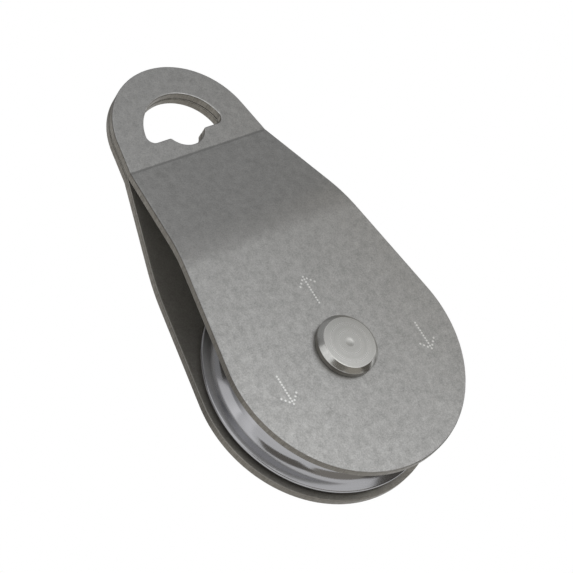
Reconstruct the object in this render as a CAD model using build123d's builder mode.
from build123d import *
import os
from math import atan2, cos, pi, radians, sin, tan

# Swing-cheek snatch block, hanging from its eye. Millimetres, +Z up towards the eye,
# -Y towards the turned pin head, origin on the axle at the middle of the sheave.

# Cheek plates: two like pressings, back to back
plate_thickness = 2.7
cheek_radius = 40.0
head_radius = 24.7
eye_height = 84.7
block_width = 22.8
head_gap = 0.3
lower_bend_height = 45.6
upper_bend_height = 77.7
lower_bend_radius = 45.0
upper_bend_radius = 2.4
edge_break = 0.25

# Eye: a round crown over two flat shoulders, with a scoop between them
eye_radius = 14.5
eye_shoulder_rise = 0.1
eye_corner_radius = 2.5
scoop_radius = 7.1
scoop_rise = 3.0
scoop_lip_radius = 1.0

# Sheave
sheave_radius = 38.2
sheave_width = 15.0
groove_depth = 6.5
groove_radius = 6.0
groove_flank = radians(18)
groove_lip_radius = 0.5
rim_chamfer = 0.4
seat_shoulder_radius = 14.3
seat_mouth_chamfer = 0.5
relief_depth = 0.8
relief_inner_radius = 20.0
relief_width = 7.0

# Axle, riveted into a collar behind the back cheek
pin_radius = 6.0
journal_radius = 7.0
pin_head_radius = 9.8
pin_head_height = 3.2
pin_head_chamfer = 1.45
pin_tail_radius = 4.5
rivet_flare = 0.9
rivet_crown = 0.4
collar_radius = 9.0
collar_height = 3.0
collar_chamfer = 0.8
dimple_radius = 1.35
dimple_depth = 1.0

# Ball bearing
bearing_width = 10.0
bearing_outer_radius = 16.0
pitch_radius = 11.0
ball_radius = 2.977
ball_count = 7
inner_shoulder_radius = 9.1
outer_shoulder_radius = 12.9
ring_chamfer = 0.4
cage_thickness = 1.5
cage_base = 0.9
cage_reach = 1.2
seal_thickness = 0.6
seal_recess = 0.5
seal_inset = 0.15

# Retaining ring in the sheave's bore
clip_thickness = 1.2
clip_groove_depth = 0.85
clip_width = 2.2
clip_offset = 0.4
clip_opening = 26.0
clip_lug_angle = 18.0
clip_lug_radius = 2.2
clip_lug_hole_radius = 1.0

# Spacers between the bearing and the cheeks
spacer_radius = 8.8

# Clearances
running_clearance = 0.05
seat_clearance = 0.01
pin_clearance = 0.02
axial_play = 0.15
lip_clearance = 0.1

# Places worked out from the sizes above
block_half = block_width / 2
cheek_inside = block_half - plate_thickness
cheek_middle = block_half - plate_thickness / 2
head_middle = (head_gap + plate_thickness) / 2
cheek_slope = atan2(cheek_middle - head_middle, upper_bend_height - lower_bend_height)
sheave_half = sheave_width / 2
bearing_half = bearing_width / 2
journal_end = -cheek_inside + axial_play
head_underside = -block_half - axial_play
seat_radius = bearing_outer_radius + seat_clearance
bore_radius = pin_radius + pin_clearance
race_radius = ball_radius + running_clearance
seal_face = bearing_half - seal_inset
seal_seat = seal_face - seal_thickness
seal_outer_radius = outer_shoulder_radius + seal_recess
groove_centre = sheave_radius - groove_depth + groove_radius
flank_radius = groove_centre - groove_radius * sin(groove_flank)
flank_half = groove_radius * cos(groove_flank)
groove_mouth = flank_half + (sheave_radius - flank_radius) * tan(groove_flank)
relief_outer_radius = relief_inner_radius + relief_width
relief_floor = sheave_half - relief_depth
clip_groove_radius = seat_radius + clip_groove_depth
clip_face = -bearing_half - clip_thickness
clip_outer_radius = clip_groove_radius - lip_clearance
clip_opening_half = clip_outer_radius * tan(radians(clip_opening / 2))
ball_centres = [
    (pitch_radius * sin(turn), 0, pitch_radius * cos(turn))
    for turn in [2 * pi * index / ball_count for index in range(ball_count)]
]

os.makedirs("parts", exist_ok=True)


def save(name, piece):
    """Label a finished piece and write its STEP file."""
    piece.part.label = name
    export_step(piece.part, f"parts/{name}.step")


def cheek_line(inward):
    """One face of the cheek's bent section, at a distance inward from its middle."""
    drop = inward * tan(cheek_slope / 2)
    return FilletPolyline(
        (-cheek_middle + inward, -cheek_radius),
        (-cheek_middle + inward, lower_bend_height - drop),
        (-head_middle + inward, upper_bend_height - drop),
        (-head_middle + inward, eye_height + head_radius),
        radius=(lower_bend_radius - inward, upper_bend_radius + inward),
    )


def section(*points):
    """Half the section of a turned piece, from its (radius, y) points."""
    with BuildSketch(Plane.XY) as outline:
        with BuildLine():
            Polyline(*points, close=True)
        make_face()
    return outline.sketch


# Eye opening, drawn once for both cheeks
with BuildSketch(Plane.XZ) as eye:
    with Locations((0, eye_height)):
        Circle(eye_radius)
    with Locations((0, eye_height + eye_shoulder_rise)):
        Rectangle(
            2 * eye_radius, 2 * eye_radius, align=(Align.CENTER, Align.MAX), mode=Mode.SUBTRACT
        )
    fillet(eye.vertices(), eye_corner_radius)
    with Locations((0, eye_height + scoop_rise)):
        Circle(scoop_radius)
    lips = eye.vertices().filter_by(
        lambda v: abs(v.Z - eye_height - eye_shoulder_rise) < 0.01 and abs(v.X) < scoop_radius
    )
    fillet(lips, scoop_lip_radius)


def cheek(bore):
    """A cheek at -Y: its bent section across the block, cut to the outline and pierced."""
    with BuildPart() as plate:
        with BuildSketch(Plane.YZ):
            with BuildLine():
                outside = cheek_line(-plate_thickness / 2)
                inside = cheek_line(plate_thickness / 2)
                Line(outside @ 0, inside @ 0)
                Line(outside @ 1, inside @ 1)
            make_face()
        extrude(amount=cheek_radius, both=True)
        with BuildSketch(Plane.XZ):
            Circle(cheek_radius)
            with Locations((0, eye_height)):
                Circle(head_radius)
            make_hull()
        extrude(amount=block_width, both=True, mode=Mode.INTERSECT)
        with BuildSketch(Plane.XZ):
            add(eye.sketch)
            Circle(bore)
        extrude(amount=block_width, both=True, mode=Mode.SUBTRACT)
        rims = edges().filter_by(Axis.X, reverse=True).filter_by(Axis.Y, reverse=True)
        chamfer(rims, edge_break)
    return plate


# Front cheek, which swings open on the axle's journal
front_side_plate = cheek(journal_radius + running_clearance)
save("front_side_plate", front_side_plate)

# Back cheek, the same pressing turned about, bored for the thinner end of the axle
with BuildPart() as back_side_plate:
    mirror(cheek(bore_radius).part, about=Plane.XZ)
save("back_side_plate", back_side_plate)

# Sheave: a turned disc with a rope groove, dished faces and a bearing seat open to the front
with BuildPart() as sheave:
    with BuildSketch(Plane.XY) as sheave_section:
        with BuildLine():
            Polyline(
                (flank_radius, flank_half),
                (sheave_radius, groove_mouth),
                (sheave_radius, sheave_half),
                (relief_outer_radius, sheave_half),
                (relief_outer_radius - relief_depth, relief_floor),
                (relief_inner_radius + relief_depth, relief_floor),
                (relief_inner_radius, sheave_half),
                (seat_shoulder_radius, sheave_half),
                (seat_shoulder_radius, bearing_half),
                (seat_radius, bearing_half),
                (seat_radius, -bearing_half),
                (clip_groove_radius, -bearing_half),
                (clip_groove_radius, clip_face - lip_clearance),
                (seat_radius, clip_face - lip_clearance),
                (seat_radius, -sheave_half + seat_mouth_chamfer),
                (seat_radius + seat_mouth_chamfer, -sheave_half),
                (relief_inner_radius, -sheave_half),
                (relief_inner_radius + relief_depth, -relief_floor),
                (relief_outer_radius - relief_depth, -relief_floor),
                (relief_outer_radius, -sheave_half),
                (sheave_radius, -sheave_half),
                (sheave_radius, -groove_mouth),
                (flank_radius, -flank_half),
            )
            ThreePointArc(
                (flank_radius, -flank_half), (sheave_radius - groove_depth, 0), (flank_radius, flank_half)
            )
        make_face()
        groove_lips = sheave_section.vertices().group_by(Axis.X)[-1].sort_by(Axis.Y)[1:3]
        fillet(groove_lips, groove_lip_radius)
        rim_corners = sheave_section.vertices().group_by(Axis.X)[-1].sort_by(Axis.Y)[0::3]
        chamfer(rim_corners, rim_chamfer)
    revolve(axis=Axis.Y)
save("sheave", sheave)

# Axle: a turned pin with a chamfered head, a journal for the front cheek and a riveted tail
with BuildPart() as axle_pin:
    revolve(
        section(
            (0, head_underside - pin_head_height),
            (pin_head_radius - pin_head_chamfer, head_underside - pin_head_height),
            (pin_head_radius, head_underside - pin_head_height + pin_head_chamfer),
            (pin_head_radius, head_underside),
            (journal_radius, head_underside),
            (journal_radius, journal_end),
            (pin_radius, journal_end),
            (pin_radius, block_half),
            (pin_tail_radius, block_half),
            (pin_tail_radius, block_half + collar_height - rivet_flare),
            (pin_tail_radius + rivet_flare, block_half + collar_height),
            (pin_tail_radius, block_half + collar_height + rivet_crown),
            (0, block_half + collar_height + rivet_crown),
        ),
        axis=Axis.Y,
    )
    with Locations(Plane((0, head_underside - pin_head_height, 0), z_dir=(0, 1, 0))):
        Cone(
            dimple_radius,
            0,
            dimple_depth,
            align=(Align.CENTER, Align.CENTER, Align.MIN),
            mode=Mode.SUBTRACT,
        )
save("axle_pin", axle_pin)

# Collar behind the back cheek, countersunk for the riveted tail
with BuildPart() as rear_collar:
    revolve(
        section(
            (pin_tail_radius, block_half),
            (collar_radius, block_half),
            (collar_radius, block_half + collar_height - collar_chamfer),
            (collar_radius - collar_chamfer, block_half + collar_height),
            (pin_tail_radius + rivet_flare, block_half + collar_height),
            (pin_tail_radius, block_half + collar_height - rivet_flare),
        ),
        axis=Axis.Y,
    )
save("rear_collar", rear_collar)

# Spacers that hold the bearing's inner ring between the journal's step and the back cheek
with BuildPart() as front_spacer:
    revolve(
        section(
            (bore_radius, journal_end),
            (spacer_radius, journal_end),
            (spacer_radius, -bearing_half),
            (bore_radius, -bearing_half),
        ),
        axis=Axis.Y,
    )
save("front_spacer", front_spacer)

with BuildPart() as back_spacer:
    revolve(
        section(
            (bore_radius, bearing_half),
            (spacer_radius, bearing_half),
            (spacer_radius, cheek_inside),
            (bore_radius, cheek_inside),
        ),
        axis=Axis.Y,
    )
save("back_spacer", back_spacer)

# Bearing rings, each with a deep race concentric with the balls
with BuildPart() as bearing_inner_ring:
    with BuildSketch(Plane.XY) as inner_section:
        with Locations((bore_radius, 0)):
            Rectangle(
                inner_shoulder_radius - bore_radius,
                bearing_width,
                align=(Align.MIN, Align.CENTER),
            )
        chamfer(inner_section.vertices(), ring_chamfer)
        with Locations((pitch_radius, 0)):
            Circle(race_radius, mode=Mode.SUBTRACT)
    revolve(axis=Axis.Y)
save("bearing_inner_ring", bearing_inner_ring)

with BuildPart() as bearing_outer_ring:
    with BuildSketch(Plane.XY) as outer_section:
        with Locations((bearing_outer_radius, 0)):
            Rectangle(
                bearing_outer_radius - outer_shoulder_radius,
                bearing_width,
                align=(Align.MAX, Align.CENTER),
            )
        chamfer(outer_section.vertices().group_by(Axis.X)[-1], ring_chamfer)
        with Locations((pitch_radius, 0)):
            Circle(race_radius, mode=Mode.SUBTRACT)
        for side in (-1, 1):
            with Locations((seal_outer_radius, side * bearing_half)):
                Rectangle(
                    2 * seal_recess,
                    2 * (bearing_half - seal_seat),
                    align=(Align.MAX, Align.CENTER),
                    mode=Mode.SUBTRACT,
                )
    revolve(axis=Axis.Y)
save("bearing_outer_ring", bearing_outer_ring)

# Seals pressed into the outer ring, with their lips just off the inner ring
for name, side in (("bearing_seal_front", -1), ("bearing_seal_back", 1)):
    with BuildPart() as bearing_seal:
        revolve(
            section(
                (inner_shoulder_radius + lip_clearance, side * seal_seat),
                (seal_outer_radius, side * seal_seat),
                (seal_outer_radius, side * seal_face),
                (inner_shoulder_radius + lip_clearance, side * seal_face),
            ),
            axis=Axis.Y,
        )
    save(name, bearing_seal)

# Balls, evenly spaced, and the snap-in cage that carries them
for index, centre in enumerate(ball_centres, start=1):
    with BuildPart() as bearing_ball:
        with Locations(centre):
            Sphere(ball_radius)
    save(f"bearing_ball_{index}", bearing_ball)

with BuildPart() as bearing_cage:
    revolve(
        section(
            (pitch_radius - cage_thickness / 2, -race_radius - cage_base),
            (pitch_radius + cage_thickness / 2, -race_radius - cage_base),
            (pitch_radius + cage_thickness / 2, cage_reach),
            (pitch_radius - cage_thickness / 2, cage_reach),
        ),
        axis=Axis.Y,
    )
    with Locations(*ball_centres):
        Sphere(race_radius, mode=Mode.SUBTRACT)
save("bearing_cage", bearing_cage)

# Retaining ring in front of the bearing: widest opposite its opening, with two drilled lugs
with BuildPart() as retaining_ring:
    with BuildSketch(Plane.XZ.offset(bearing_half)):
        Circle(clip_outer_radius)
        with Locations((0, -clip_offset)):
            Circle(clip_outer_radius - clip_width, mode=Mode.SUBTRACT)
        Polygon(
            (0, 0),
            (clip_opening_half, clip_outer_radius),
            (-clip_opening_half, clip_outer_radius),
            align=None,
            mode=Mode.SUBTRACT,
        )
        lug_places = PolarLocations(
            clip_outer_radius - clip_lug_radius,
            count=2,
            start_angle=90 - clip_lug_angle,
            angular_range=2 * clip_lug_angle,
            endpoint=True,
        )
        with lug_places:
            Circle(clip_lug_radius)
        with lug_places:
            Circle(clip_lug_hole_radius, mode=Mode.SUBTRACT)
    extrude(amount=clip_thickness)
save("retaining_ring", retaining_ring)
